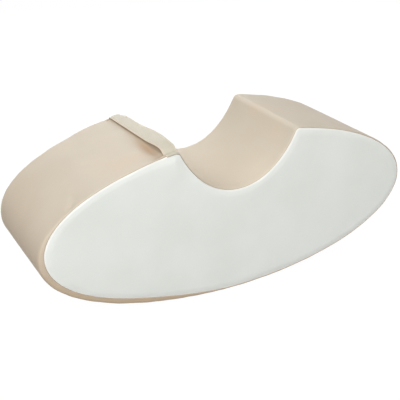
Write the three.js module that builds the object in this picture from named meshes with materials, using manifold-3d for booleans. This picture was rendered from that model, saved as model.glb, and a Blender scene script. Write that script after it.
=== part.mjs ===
import * as THREE from 'three';
import { mergeVertices } from 'three/addons/utils/BufferGeometryUtils.js';
import Module from 'manifold-3d';

const wasm = await Module();
wasm.setup();

// A toddler's foam rocker: a boat-shaped foam block in a sewn cover, with a seat notch on top, a
// grab strap in front of the seat and a zip along the underside. Millimetres, X along the block
// with its front at -X, Y across it, Z up from the floor.

// Block
const blockLength = 900;
const blockWidth = 265;
const baseDrop = 182; // from the widest level down to the rocking surface
const topRise = 185.4; // from the widest level up to where the top would crown without the seat
const baseFullness = 2.033; // exponents of the two outline curves, 2 being an ellipse
const topFullness = 1.977;
const restFlat = 32; // length of the flat on which the block stands
const edgeRadius = 4.5; // rounding between the rim and the side faces

// Seat notch: an elliptical arc with a rounded lip at each end
const seatHalfLength = 161.4;
const seatDepth = 219.6;
const seatCentreRise = 284.4; // its centre over the widest level
const frontLipRadius = 20;
const backLipRadius = 14.5;
const lipRadiusLeast = 2.1; // on the deeper outlines

// The front lip leans forward towards the right side. The lean grows between the first two of
// these distances in front of the middle, fades between the last two, and grows with the height
// over the widest level.
const lipLean = 14;
const leanReach = 300;
const leanFrontFull = 205;
const leanBackFull = 105;
const leanBackEnd = 15;
const leanLow = 30;
const leanHigh = 110;

// Cover
const coverThickness = 1.2;
const seamInset = 6.3; // from the rim to the seam with the side panel
const seamSink = 3; // how far that seam is drawn in behind the middle of the side face
const puffReach = 30; // from that seam to where the side face is flat
const puffShares = [0, 0.3, 1]; // of it, where the puffed face has its folds
const clearance = 0.3;

// Under the front end the side seams lie deeper. The dip fades out from one depth under the
// widest level to a height over it, and from one place in front of the middle to one behind it.
const seamDip = 11;
const dipDepth = 60;
const dipHeight = 110;
const dipFront = 70;
const dipBack = 30;

// Grab strap. Its hump has a height, a peak and an end of its own at the front edge and at the
// back edge, the last two as distances from the left seam.
const strapWidth = 31;
const strapThickness = 2.4;
const strapLap = 18.9; // how far it lies over the rounding of the front lip
const strapHover = 0.8; // between its flat part and the top of the cover
const humpFrontRise = 4;
const humpFrontPeak = 39.5;
const humpFrontEnd = 94.5;
const humpBackRise = 7.5;
const humpBackPeak = 84.5;
const humpBackEnd = 189.5;

// Zip
const zipLength = 400;
const tapeWidth = 15;
const tapeThickness = 0.6;
const tapeTail = 10; // tape beyond the last tooth
const toothPitch = 4.2;
const toothHeight = 2.4;
const spineOuter = 3.1; // the moulded spine of the teeth, from the middle line
const spineInner = 1.3;
const toothLap = 0.9; // how far a tooth reaches past the middle line
const hemWidth = 13; // of the folded edge of the cover beside the zip
const reliefHeight = 4; // free space over the zip in the foam
const stopLength = 3;
const stopWall = 0.6;
const toothRootShare = 0.36; // of the pitch, at the spine and at the head of a tooth
const toothHeadShare = 0.44;
const sliderLength = 12;
const sliderCornerShare = 0.2; // of its length
const sliderFlare = 0.6; // how much wider its nose is than its tail, on each side
const sliderPlate = 1.2;
const sliderFlange = 0.8;
const postLength = 3;
const seamAllowance = 4; // from the zip's end stops to the cross seams of the underside
const bridgeWall = 0.8;
const bridgeRadius = 1.9;
const pullLength = 15;
const pullWidth = 5;
const pullThickness = 1.1;
const pullFrame = 1.3;
const pullWindow = 4;
const bridgeWidth = 1.4;

// Numbers of facets
const underSteps = 11;
const topSteps = 13;
const lipSteps = 4;
const seatSteps = 18;
const baseSteps = 9; // on either side of the rest's flat
const edgeSteps = 3;
const strapSteps = 36;
const bridgeSteps = 8;
const teethPerBend = 4;
const halvings = 50; // of the interval in which the lip's angle is sought

const halfLength = blockLength / 2;
const toothCount = Math.floor(zipLength / toothPitch);
const chainEnd = (toothCount * toothPitch) / 2;
const stopStart = chainEnd + postLength + 2 * clearance;
const baseSeamReach = stopStart + stopLength + seamAllowance;
const tapeEnd = baseSeamReach + tapeTail;
const tapeInner = (spineInner + spineOuter) / 2;
const seamFaceY = blockWidth / 2 - seamSink;
const foamInset = coverThickness + clearance;

// Height of the widest level over the floor
const restAngle = angleAt(restFlat / 2, baseFullness);
const levelZ = baseDrop * Math.sin(restAngle) ** (2 / baseFullness);

function angleAt(x, fullness) {
  return Math.acos((x / halfLength) ** (fullness / 2));
}

// A point of the outline over (side 1) or under (side -1) the widest level: a superellipse.
// The angle is 0 at the back tip and pi at the front tip.
function rimPoint(angle, inset, side) {
  const rise = side > 0 ? topRise : baseDrop;
  const power = 2 / (side > 0 ? topFullness : baseFullness);
  const across = Math.cos(angle);
  const x = (halfLength - inset) * Math.sign(across) * Math.abs(across) ** power;
  return new THREE.Vector2(x, levelZ + side * (rise - inset) * Math.abs(Math.sin(angle)) ** power);
}

// A point of the seat notch, at an angle from its lowest point towards the back
function seatPoint(angle, inset) {
  return new THREE.Vector2(
    (seatHalfLength + inset) * Math.sin(angle),
    levelZ + seatCentreRise - (seatDepth + inset) * Math.cos(angle),
  );
}

// A lip's rounding at an inset, as if at the back: its centre lies where the two curves, moved in
// by the inset and the radius together, cross.
function lipRounding(lipRadius, inset) {
  const depth = inset + Math.max(lipRadius - inset, lipRadiusLeast);
  let low = 0;
  let high = Math.PI / 2;
  for (let halving = 0; halving < halvings; halving++) {
    const middle = (low + high) / 2;
    const onSeat = seatPoint(middle, depth);
    const x = Math.min(onSeat.x / (halfLength - depth), 1);
    const top = levelZ + (topRise - depth) * (1 - x ** topFullness) ** (1 / topFullness);
    if (onSeat.y < top) low = middle;
    else high = middle;
  }
  const centre = seatPoint(low, depth);
  const rimAngle = Math.acos((centre.x / (halfLength - depth)) ** (topFullness / 2));
  return { centre, seatAngle: low, rimAngle };
}

// A point on a lip's rounding, as if at the back, from the top at share 0 to the seat at share 1
function lipPoint(lipRadius, share, inset) {
  const { centre, seatAngle, rimAngle } = lipRounding(lipRadius, inset);
  const fromSeat = seatPoint(seatAngle, inset).sub(centre);
  const fromTop = rimPoint(rimAngle, inset, 1).sub(centre);
  const angle = THREE.MathUtils.lerp(fromTop.angle(), fromSeat.angle(), share);
  const radius = THREE.MathUtils.lerp(fromTop.length(), fromSeat.length(), share);
  return new THREE.Vector2(Math.cos(angle), Math.sin(angle)).multiplyScalar(radius).add(centre);
}

// The stretches of the outline, each a number of steps and a point at a share of it
const seamAngle = angleAt(baseSeamReach, baseFullness);
const backUnder = {
  steps: underSteps,
  pointAt: (share, inset) => rimPoint(seamAngle * (1 - share), inset, -1),
};
const stretches = {
  base: { steps: 2 * baseSteps + 1, pointAt: basePoint },
  backUnder,
  backTop: topStretch(backLipRadius),
  backLip: lipStretch(backLipRadius),
  seat: { steps: seatSteps, pointAt: seatStretchPoint },
  frontLip: mirrored(lipStretch(frontLipRadius)),
  frontTop: mirrored(topStretch(frontLipRadius)),
  frontUnder: mirrored(backUnder),
};
const wholeOutline = ['base', 'backUnder', 'backTop', 'backLip', 'seat', 'frontLip', 'frontTop',
  'frontUnder'];

// From the front cross seam to the back one, with the rest's flat as the middle step
function basePoint(share, inset) {
  const steps = stretches.base.steps;
  const fromFlat = (Math.abs(2 * share - 1) * steps - 1) / (steps - 1);
  const point = rimPoint(THREE.MathUtils.lerp(restAngle, seamAngle, fromFlat), inset, -1);
  point.x *= Math.sign(2 * share - 1);
  return point;
}

function topStretch(lipRadius) {
  return {
    steps: topSteps,
    pointAt: (share, inset) => rimPoint(lipRounding(lipRadius, inset).rimAngle * share, inset, 1),
  };
}

function lipStretch(lipRadius) {
  return { steps: lipSteps, pointAt: (share, inset) => lipPoint(lipRadius, share, inset) };
}

function seatStretchPoint(share, inset) {
  const back = lipRounding(backLipRadius, inset).seatAngle;
  const front = lipRounding(frontLipRadius, inset).seatAngle;
  return seatPoint(THREE.MathUtils.lerp(back, -front, share), inset);
}

// A stretch of the back mirrored to the front and run the other way
function mirrored({ steps, pointAt }) {
  return {
    steps,
    pointAt: (share, inset) => {
      const point = pointAt(1 - share, inset);
      return point.set(-point.x, point.y);
    },
  };
}

function spread(steps, pointAt) {
  return Array.from({ length: steps + 1 }, (_, step) => pointAt(step / steps));
}

// How much deeper the seam and the side face lie at a point of the rim
function dipAt(point) {
  const low = 1 - THREE.MathUtils.smoothstep(point.y - levelZ, -dipDepth, dipHeight);
  return seamDip * low * (1 - THREE.MathUtils.smoothstep(point.x, -dipFront, dipBack));
}

// The named stretches of the outline joined end to end, at a place of a section: an inset, a
// height over the middle plane and a share of the seam's dip
function trace(names, place) {
  return names.flatMap((name, order) => {
    const { steps, pointAt } = stretches[name];
    const points = spread(steps, (share) =>
      pointAt(share, place.x + place.z * dipAt(pointAt(share, 0))));
    return points.slice(order > 0 ? 1 : 0);
  });
}

// The same, with both ends drawn back by half a clearance from the next panel
function tracePanel(names, place) {
  const points = trace(names, place);
  drawBack(points[0], points[1]);
  drawBack(points[points.length - 1], points[points.length - 2]);
  return points;
}

function drawBack(end, next) {
  end.lerp(next, clearance / 2 / end.distanceTo(next));
}

// A point of the block from its outline, at a height over the middle plane, with the lip's lean
function leaned(point, y) {
  const across = THREE.MathUtils.clamp((y / seamFaceY + 1) / 2, 0, 1);
  const along = THREE.MathUtils.smoothstep(point.x, -leanReach, -leanFrontFull)
    * (1 - THREE.MathUtils.smoothstep(point.x, -leanBackFull, -leanBackEnd));
  const up = THREE.MathUtils.smoothstep(point.y - levelZ, leanLow, leanHigh);
  return new THREE.Vector3(point.x - lipLean * across * along * up, y, point.y);
}

// The places of the block's section across its rim, for a surface that lies a depth inside the
// cover's outer face
function edgeSection(depth) {
  const radius = edgeRadius - depth;
  return spread(edgeSteps, (share) => {
    const angle = (share * Math.PI) / 2;
    return new THREE.Vector3(
      edgeRadius - radius * Math.cos(angle),
      seamFaceY - edgeRadius + radius * Math.sin(angle),
      (1 - Math.cos(angle)) ** 2,
    );
  });
}

// The side face from the seam inwards, puffed up to its flat middle
function puffSection(depth, gap) {
  return puffShares.map((share) => new THREE.Vector3(
    seamInset + gap + puffReach * share,
    seamFaceY + seamSink * Math.sin((share * Math.PI) / 2) - depth,
    1,
  ));
}

function flipped(section) {
  return section.map((place) => place.clone().setY(-place.y)).reverse();
}

// Geometry from points and triangles, turned so that its faces point out
function closedGeometry(points, triangles) {
  const [a, b, c] = [new THREE.Vector3(), new THREE.Vector3(), new THREE.Vector3()];
  let volume = 0;
  for (const [i, j, k] of triangles) {
    volume += a.copy(points[i]).dot(b.copy(points[j]).cross(c.copy(points[k])));
  }
  const geometry = new THREE.BufferGeometry().setFromPoints(points);
  geometry.setIndex(triangles.flatMap(([i, j, k]) => (volume > 0 ? [i, j, k] : [i, k, j])));
  return geometry;
}

// The two triangles of each cell between the rows of a grid of points
function gridTriangles(rows, columns, closedRows, closedColumns) {
  const triangles = [];
  for (let row = 0; row < rows - (closedRows ? 0 : 1); row++) {
    for (let column = 0; column < columns - (closedColumns ? 0 : 1); column++) {
      const a = row * columns + column;
      const b = row * columns + ((column + 1) % columns);
      const c = ((row + 1) % rows) * columns + column;
      const d = ((row + 1) % rows) * columns + ((column + 1) % columns);
      triangles.push([a, b, d], [a, d, c]);
    }
  }
  return triangles;
}

// Triangles that fill an outline, all turned the way that the outline runs
function fillTriangles(outline) {
  const way = Math.sign(THREE.ShapeUtils.area(outline));
  return THREE.ShapeUtils.triangulateShape(outline, []).map(([i, j, k]) => {
    const turn = THREE.ShapeUtils.area([outline[i], outline[j], outline[k]]);
    return Math.sign(turn) === way ? [i, j, k] : [i, k, j];
  });
}

// A body that follows the whole outline: a ring for each place of the section, from one flat
// middle to the other, and both middles filled
function ringBody(section) {
  const rings = section.map((place) => trace(wholeOutline, place).slice(0, -1));
  const points = rings.flatMap((ring, row) => ring.map((point) => leaned(point, section[row].y)));
  const count = rings[0].length;
  const last = (rings.length - 1) * count;
  const triangles = gridTriangles(rings.length, count, false, true);
  for (const [i, j, k] of fillTriangles(rings[0])) triangles.push([i, k, j]);
  for (const [i, j, k] of fillTriangles(rings[rings.length - 1])) {
    triangles.push([last + i, last + j, last + k]);
  }
  return closedGeometry(points, triangles);
}

// A strip of cover along part of the outline: its closed section carried along the stretches
function stripBody(section, names) {
  const lines = section.map((place) => tracePanel(names, place));
  const points = lines.flatMap((line, row) => line.map((point) => leaned(point, section[row].y)));
  const count = lines[0].length;
  const triangles = gridTriangles(lines.length, count, true, false);
  for (const [i, j, k] of fillTriangles(section)) {
    triangles.push([i * count, j * count, k * count]);
    triangles.push([i * count, k * count, j * count].map((index) => index + count - 1));
  }
  return closedGeometry(points, triangles);
}

function toSolid(geometry) {
  const plain = geometry.clone();
  plain.deleteAttribute('normal');
  plain.deleteAttribute('uv');
  const merged = mergeVertices(plain);
  return new wasm.Manifold(new wasm.Mesh({
    numProp: 3,
    vertProperties: new Float32Array(merged.attributes.position.array),
    triVerts: new Uint32Array(merged.index.array),
  }));
}

function toGeometry(solid) {
  const { vertProperties, triVerts } = solid.getMesh();
  const geometry = new THREE.BufferGeometry();
  geometry.setAttribute('position', new THREE.BufferAttribute(vertProperties, 3));
  geometry.setIndex(new THREE.BufferAttribute(triVerts, 1));
  return geometry;
}

function joined(geometries) {
  return toGeometry(geometries.map(toSolid).reduce((whole, piece) => whole.add(piece)));
}

function cut(geometry, tool) {
  return toGeometry(toSolid(geometry).subtract(toSolid(tool)));
}

function makePiece(name, geometry, material) {
  const piece = new THREE.Mesh(geometry, material);
  piece.name = name;
  return piece;
}

// The zip lies on a circle through the middle and the ends of its own stretch of the underside
const zipEnd = zipLength / 2;
const zipEndRise = baseDrop * (1 - Math.sin(angleAt(zipEnd, baseFullness)) ** (2 / baseFullness));
const zipRadius = (zipEnd ** 2 + zipEndRise ** 2) / (2 * zipEndRise);

// Depths of the zip's layers under the cover's outer face
const hemDepth = 2 * coverThickness;
const tapeDepth = hemDepth + clearance + tapeThickness;
const chainDepth = tapeDepth + tapeThickness / 2 - toothHeight / 2;
const sliderDepth = chainDepth - clearance - sliderPlate;
const sliderHeight = toothHeight + 2 * (clearance + sliderPlate);
const tailHalf = spineOuter + clearance + sliderFlange;
const noseHalf = tailHalf + sliderFlare;
const mouthHalf = noseHalf + clearance;
const sliderCorner = sliderLength * sliderCornerShare;
const sliderMiddle = chainEnd + postLength - sliderLength / 2;
const sliderAngle = sliderMiddle / zipRadius;

// A piece drawn flat, with X along the zip, Y across it and Z its depth, laid on that circle
function laidOnArc(geometry) {
  const laid = geometry.index ? geometry.clone() : mergeVertices(geometry);
  const place = laid.attributes.position;
  for (let index = 0; index < place.count; index++) {
    const angle = place.getX(index) / zipRadius;
    const radius = zipRadius - place.getZ(index);
    const x = radius * Math.sin(angle);
    place.setXYZ(index, x, place.getY(index), zipRadius - radius * Math.cos(angle));
  }
  return laid;
}

function flatPlate(outline, bottom, thickness) {
  const geometry = new THREE.ExtrudeGeometry(new THREE.Shape(outline), {
    depth: thickness,
    bevelEnabled: false,
  });
  return geometry.translate(0, 0, bottom);
}

// A rectangle with each corner cut at 45 degrees
function roundedOutline(fromX, toX, fromY, toY, corner) {
  return [
    new THREE.Vector2(fromX + corner, fromY), new THREE.Vector2(toX - corner, fromY),
    new THREE.Vector2(toX, fromY + corner), new THREE.Vector2(toX, toY - corner),
    new THREE.Vector2(toX - corner, toY), new THREE.Vector2(fromX + corner, toY),
    new THREE.Vector2(fromX, toY - corner), new THREE.Vector2(fromX, fromY + corner),
  ];
}

// A box over a stretch of the zip, with a corner every few teeth so that it can be bent
function arcBar(fromX, toX, fromY, toY, bottom, top) {
  const steps = Math.max(1, Math.round((toX - fromX) / (toothPitch * teethPerBend)));
  const box = new THREE.BoxGeometry(toX - fromX, toY - fromY, top - bottom, steps, 1, 1);
  return box.translate((fromX + toX) / 2, (fromY + toY) / 2, (bottom + top) / 2);
}

// The comb of one side: the spine with its teeth. Its flat faces are filled a few teeth at a time,
// so that it bends smoothly.
function combGeometry(startX) {
  const root = (toothPitch * toothRootShare) / 2;
  const head = (toothPitch * toothHeadShare) / 2;
  const inner = [];
  const bends = [];
  for (let tooth = 0; tooth < toothCount; tooth++) {
    const middle = startX + tooth * toothPitch;
    if (tooth % teethPerBend === 0) {
      bends.push(inner.length);
      inner.push(new THREE.Vector2(middle - toothPitch / 2, spineInner));
    }
    inner.push(
      new THREE.Vector2(middle - root, spineInner),
      new THREE.Vector2(middle - head, -toothLap),
      new THREE.Vector2(middle + head, -toothLap),
      new THREE.Vector2(middle + root, spineInner),
    );
  }
  bends.push(inner.length);
  inner.push(new THREE.Vector2(startX + (toothCount - 1 / 2) * toothPitch, spineInner));
  const outer = bends.map((start) => new THREE.Vector2(inner[start].x, spineOuter)).reverse();
  const outline = [...inner, ...outer];
  const fill = bends.slice(1).flatMap((end, bend) => {
    const corners = outline.map((_, index) => index).slice(bends[bend], end + 1);
    corners.push(outline.length - 2 - bend, outline.length - 1 - bend);
    return fillTriangles(corners.map((index) => outline[index]))
      .map((triangle) => triangle.map((corner) => corners[corner]));
  });
  const count = outline.length;
  const points = [chainDepth, chainDepth + toothHeight].flatMap((depth) =>
    outline.map((point) => new THREE.Vector3(point.x, point.y, depth)));
  const triangles = gridTriangles(2, count, false, true);
  for (const [i, j, k] of fill) triangles.push([i, k, j], [count + i, count + j, count + k]);
  return closedGeometry(points, triangles);
}

function makeStringer(name, side) {
  const startX = -chainEnd + (toothPitch * (side > 0 ? 1 : 3)) / 4;
  const tape = arcBar(-tapeEnd, tapeEnd, tapeInner, tapeInner + tapeWidth,
    tapeDepth, tapeDepth + tapeThickness);
  const stringer = joined([combGeometry(startX), tape].map(laidOnArc));
  return makePiece(name, mirroredPiece(stringer, side), zipTapeMaterial());
}

// A piece drawn for the right side, or mirrored to the left with its faces still turned out
function mirroredPiece(geometry, side) {
  if (side > 0) return geometry;
  const index = geometry.index;
  for (let corner = 0; corner < index.count; corner += 3) {
    const second = index.getX(corner + 1);
    index.setX(corner + 1, index.getX(corner + 2));
    index.setX(corner + 2, second);
  }
  return geometry.scale(1, -1, 1);
}

function coverBeige() {
  return new THREE.MeshStandardMaterial({ color: 0xd8cbb6, roughness: 0.55, metalness: 0 });
}

function coverWhite() {
  return new THREE.MeshStandardMaterial({ color: 0xe0e1dc, roughness: 0.5, metalness: 0 });
}

function strapBeige() {
  return new THREE.MeshStandardMaterial({ color: 0xd5d1bf, roughness: 0.5, metalness: 0 });
}

function foamMaterial() {
  return new THREE.MeshStandardMaterial({ color: 0xe9dfae, roughness: 0.95, metalness: 0 });
}

function zipTapeMaterial() {
  return new THREE.MeshStandardMaterial({ color: 0xcfc3ae, roughness: 0.8, metalness: 0 });
}

function zipMetal() {
  return new THREE.MeshStandardMaterial({ color: 0xb9b6ae, roughness: 0.35, metalness: 1 });
}

function makeFoamCore() {
  const left = [...edgeSection(foamInset), ...puffSection(foamInset, 0)];
  const block = ringBody([...flipped(left), ...left]);
  const reliefHalf = mouthHalf + hemWidth + clearance;
  const relief = arcBar(-tapeEnd - clearance, tapeEnd + clearance, -reliefHalf, reliefHalf,
    0, sliderDepth + sliderHeight + reliefHeight);
  return makePiece('foam_core', cut(block, laidOnArc(relief)), foamMaterial());
}

function makeSidePanel(name, side) {
  const outer = puffSection(0, clearance / 2);
  const inner = puffSection(coverThickness, clearance / 2);
  const section = [...inner.reverse(), ...outer];
  for (const place of section) place.y *= side;
  return makePiece(name, ringBody(section), coverWhite());
}

// The wrap's edge from its rounding to the seam, for its outer or its inner face
function wrapEdge(depth) {
  return [...edgeSection(depth),
    new THREE.Vector3(seamInset - clearance / 2, seamFaceY - depth, 1)];
}

// The wrap's section over the whole width: outer face one way and inner face back
function wrapSection() {
  const outer = wrapEdge(0);
  const inner = wrapEdge(coverThickness);
  return [...flipped(outer), ...outer, ...inner.reverse(), ...flipped(inner)];
}

function makeWrapPanel(name, names) {
  return makePiece(name, stripBody(wrapSection(), names), coverBeige());
}

// One half of the underside, from its side seam to the folded hem beside the zip
function makeBasePanel(name, side) {
  const section = [
    new THREE.Vector3(0, mouthHalf, 0),
    ...wrapEdge(0),
    ...wrapEdge(coverThickness).reverse(),
    new THREE.Vector3(coverThickness, mouthHalf + hemWidth, 0),
    new THREE.Vector3(hemDepth, mouthHalf + hemWidth, 0),
    new THREE.Vector3(hemDepth, mouthHalf, 0),
  ];
  for (const place of section) place.y *= side;
  return makePiece(name, stripBody(section, ['base']), coverBeige());
}

// A point over the front top of the cover, out along the outline's normal
function overTop(x, out, y) {
  const share = Math.abs(x) / halfLength;
  const base = (1 - share ** topFullness) ** (1 / topFullness);
  const slope = (topRise / halfLength) * (share / base) ** (topFullness - 1);
  const normal = new THREE.Vector2(Math.sign(x) * slope, 1).normalize();
  const onRim = new THREE.Vector2(x, levelZ + topRise * base);
  return leaned(onRim.addScaledVector(normal, out), y);
}

// The strap's middle line as pairs of height over the rim and place across the block
function strapLine() {
  const start = edgeRadius + clearance + strapThickness / 2;
  const end = new THREE.Vector2(clearance - seamInset, seamFaceY + start - edgeRadius);
  const corner = spread(edgeSteps, (share) => {
    const angle = ((1 - share) * Math.PI) / 2;
    const around = start + (strapHover - clearance) * share;
    return new THREE.Vector2(
      around * Math.cos(angle) - edgeRadius,
      seamFaceY - edgeRadius + around * Math.sin(angle),
    );
  });
  const half = [end, ...corner].map((place) => new THREE.Vector2(place.x, -place.y));
  const from = half[half.length - 1];
  const across = spread(strapSteps, (share) => new THREE.Vector2(
    from.x,
    THREE.MathUtils.lerp(from.y, -from.y, share),
  ));
  return [...half, ...across.slice(1, -1),
    ...half.map((place) => new THREE.Vector2(place.x, -place.y)).reverse()];
}

// The hump's height over the cover: half a cosine wave up to its peak and another one down
function humpRise(y, crosswise) {
  const share = crosswise / strapWidth + 1 / 2;
  const rise = THREE.MathUtils.lerp(humpFrontRise, humpBackRise, share);
  const peak = THREE.MathUtils.lerp(humpFrontPeak, humpBackPeak, share);
  const end = THREE.MathUtils.lerp(humpFrontEnd, humpBackEnd, share);
  const past = y + seamFaceY - peak;
  const turn = THREE.MathUtils.clamp(past < 0 ? past / peak : past / (end - peak), -1, 1);
  return (rise * (1 + Math.cos(turn * Math.PI))) / 2;
}

function makeStrap() {
  const line = strapLine();
  const fold = strapThickness / 2;
  const halfSection = [[-strapWidth / 2, 0], [-strapWidth / 2 + fold, -fold],
    [strapWidth / 2 - fold, -fold], [strapWidth / 2, 0]];
  const section = [...halfSection, [strapWidth / 2 - fold, fold], [-strapWidth / 2 + fold, fold]]
    .map(([x, y]) => new THREE.Vector2(x, y));
  const middle = stretches.frontLip.pointAt(1, 0).x + strapLap - strapWidth / 2;
  const rows = line.map((place, step) => {
    const before = line[Math.max(step - 1, 0)];
    const after = line[Math.min(step + 1, line.length - 1)];
    const along = after.clone().sub(before).normalize();
    return section.map((corner) => overTop(
      middle + corner.x,
      place.x + humpRise(place.y, corner.x) + along.y * corner.y,
      place.y - along.x * corner.y,
    ));
  });
  const count = section.length;
  const triangles = gridTriangles(rows.length, count, false, true);
  for (const [i, j, k] of fillTriangles(section)) {
    triangles.push([i, k, j]);
    triangles.push([i, j, k].map((index) => index + (rows.length - 1) * count));
  }
  return makePiece('handle_strap', closedGeometry(rows.flat(), triangles), strapBeige());
}

// A stop clamped round the inner edge of one tape
function makeTopStop(name, side) {
  const web = tapeInner - clearance;
  const whole = arcBar(stopStart, stopStart + stopLength, web - stopWall, spineOuter, chainDepth,
    chainDepth + toothHeight);
  const stop = mirroredPiece(cut(laidOnArc(whole), tapeSlot(stopStart)), side);
  return makePiece(name, stop, zipMetal());
}

// The clip that holds both tapes together at the front end
function makeBottomStop() {
  const start = -stopStart - stopLength;
  const whole = arcBar(start, start + stopLength, -spineOuter, spineOuter, chainDepth,
    chainDepth + toothHeight);
  const clip = [1, -1].map((side) => mirroredPiece(tapeSlot(start), side))
    .reduce(cut, laidOnArc(whole));
  return makePiece('zip_bottom_stop', clip, zipMetal());
}

// The slot that lets a stop over the right tape's edge
function tapeSlot(start) {
  return laidOnArc(arcBar(start - clearance, start + stopLength + clearance,
    tapeInner - clearance, spineOuter + clearance,
    tapeDepth - clearance, tapeDepth + tapeThickness + clearance));
}

// A plate's outline given on one side of the middle line, mirrored to the other
function bothSides(half) {
  return [...half, ...half.map((place) => new THREE.Vector2(place.x, -place.y)).reverse()];
}

// The slider, flat, with its nose at X 0 and its tail at -X
function sliderPlateOutline() {
  return bothSides([
    new THREE.Vector2(0, noseHalf - sliderCorner),
    new THREE.Vector2(-sliderCorner, noseHalf),
    new THREE.Vector2(-sliderLength + sliderCorner / 2, tailHalf),
    new THREE.Vector2(-sliderLength, tailHalf - sliderCorner / 2),
  ]);
}

function flangeOutline(side) {
  return [
    new THREE.Vector2(-sliderCorner, side * noseHalf),
    new THREE.Vector2(-sliderCorner, side * (noseHalf - sliderFlange)),
    new THREE.Vector2(-sliderLength + sliderCorner, side * (tailHalf - sliderFlange)),
    new THREE.Vector2(-sliderLength + sliderCorner, side * tailHalf),
  ];
}

// The post between the plates that parts the teeth
function postOutline() {
  const half = spineInner - clearance;
  return [
    new THREE.Vector2(0, 0),
    new THREE.Vector2(-postLength / 2, half),
    new THREE.Vector2(-postLength, 0),
    new THREE.Vector2(-postLength / 2, -half),
  ];
}

// The bridge over the outer plate, through which the pull passes
function makeBridge() {
  const outline = [
    ...spread(bridgeSteps, (share) => archPoint(share, bridgeRadius + bridgeWall)),
    ...spread(bridgeSteps, (share) => archPoint(1 - share, bridgeRadius)),
  ];
  const foot = sliderPlate / 2;
  outline[0].y = -foot;
  outline[bridgeSteps].y = -foot;
  outline[bridgeSteps + 1].y = -foot;
  outline[outline.length - 1].y = -foot;
  const arch = flatPlate(outline, -bridgeWidth / 2, bridgeWidth).rotateX(-Math.PI / 2);
  return arch.translate(-sliderLength / 2, 0, sliderDepth);
}

function archPoint(share, radius) {
  const angle = share * Math.PI;
  return new THREE.Vector2(radius * Math.cos(angle), radius * Math.sin(angle));
}

function makeSlider() {
  const middle = sliderDepth + sliderPlate / 2;
  const innerMiddle = sliderDepth + sliderHeight - sliderPlate / 2;
  const innerPlate = sliderDepth + sliderHeight - sliderPlate;
  const flangeTop = tapeDepth - clearance;
  const flangeBottom = tapeDepth + tapeThickness + clearance;
  const pieces = [
    flatPlate(sliderPlateOutline(), sliderDepth, sliderPlate),
    flatPlate(sliderPlateOutline(), innerPlate, sliderPlate),
    flatPlate(postOutline(), middle, innerMiddle - middle),
    makeBridge(),
  ];
  for (const side of [1, -1]) {
    pieces.push(flatPlate(flangeOutline(side), middle, flangeTop - middle));
    pieces.push(flatPlate(flangeOutline(side), flangeBottom, innerMiddle - flangeBottom));
  }
  return makePiece('zip_slider', joined(pieces), zipMetal());
}

// The pull: a tab with a window, hanging straight down from its top bar, which turns in the
// bridge. Its origin is in the middle of that bar.
function makePull() {
  const half = pullWidth / 2;
  const bar = pullThickness / 2;
  const tab = new THREE.Shape(roundedOutline(-half, half, bar - pullLength, bar, pullFrame / 2));
  tab.holes.push(new THREE.Path(roundedOutline(pullFrame - half, half - pullFrame,
    -bar - pullWindow, -bar, pullFrame / 2)));
  const plate = new THREE.ExtrudeGeometry(tab, { depth: pullThickness, bevelEnabled: false });
  plate.translate(0, 0, -bar).rotateX(Math.PI / 2).rotateZ(Math.PI / 2);
  return makePiece('zip_pull', toGeometry(toSolid(plate)), zipMetal());
}

// The slider and its pull, turned together round the middle of the zip's circle to the closed end
function makeZipRunner() {
  const slider = makeSlider();
  slider.position.set(sliderLength / 2, 0, -zipRadius);
  const pull = makePull();
  pull.position.set(0, 0, sliderDepth - bridgeRadius / 2 - zipRadius);
  pull.rotation.y = sliderAngle;
  const runner = new THREE.Group();
  runner.add(slider, pull);
  runner.position.set(0, 0, zipRadius);
  runner.rotation.y = -sliderAngle;
  return runner;
}

const rocker = new THREE.Group();
rocker.name = 'foam_rocker';
rocker.add(
  makeFoamCore(),
  makeSidePanel('side_panel_left', -1),
  makeSidePanel('side_panel_right', 1),
  makeWrapPanel('front_panel', ['frontLip', 'frontTop', 'frontUnder']),
  makeWrapPanel('seat_panel', ['backUnder', 'backTop', 'backLip', 'seat']),
  makeBasePanel('base_panel_left', -1),
  makeBasePanel('base_panel_right', 1),
  makeStrap(),
  makeStringer('zip_stringer_left', -1),
  makeStringer('zip_stringer_right', 1),
  makeTopStop('zip_top_stop_left', -1),
  makeTopStop('zip_top_stop_right', 1),
  makeBottomStop(),
  makeZipRunner(),
);

export default rocker;
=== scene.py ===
import bpy
import numpy as np
from mathutils import Matrix


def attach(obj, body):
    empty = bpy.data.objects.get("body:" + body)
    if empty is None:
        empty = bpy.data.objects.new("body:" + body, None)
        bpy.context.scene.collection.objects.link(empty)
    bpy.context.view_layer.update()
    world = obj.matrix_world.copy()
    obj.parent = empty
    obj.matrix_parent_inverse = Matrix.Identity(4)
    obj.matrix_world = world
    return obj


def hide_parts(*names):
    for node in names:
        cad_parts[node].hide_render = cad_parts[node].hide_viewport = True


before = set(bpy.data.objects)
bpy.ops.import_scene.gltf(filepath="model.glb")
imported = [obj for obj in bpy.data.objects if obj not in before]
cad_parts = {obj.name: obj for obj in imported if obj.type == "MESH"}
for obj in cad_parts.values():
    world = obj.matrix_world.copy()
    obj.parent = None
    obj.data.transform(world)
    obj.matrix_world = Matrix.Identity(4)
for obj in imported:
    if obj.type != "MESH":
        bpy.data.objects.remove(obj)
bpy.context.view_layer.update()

chain = np.concatenate

# Lengths are in millimetres, as on a cutting pattern, and become metres where a mesh is made.
millimetre = 0.001

block = {
    "halfLength": 450, "baseDrop": 182, "topRise": 185.4,
    "baseFullness": 2.033, "topFullness": 1.977,  # exponents of the two outline curves
    "restFlat": 32, "edgeRadius": 4.5,
    "seatHalf": 161.4, "seatDepth": 219.6, "seatRise": 284.4,
    "lipRadius": {"back": 14.5, "front": 20}, "lipLeast": 2.1,
    "coreHeight": 0.7,  # of the core, which outwards is away from: a share of the widest level's
}

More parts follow.
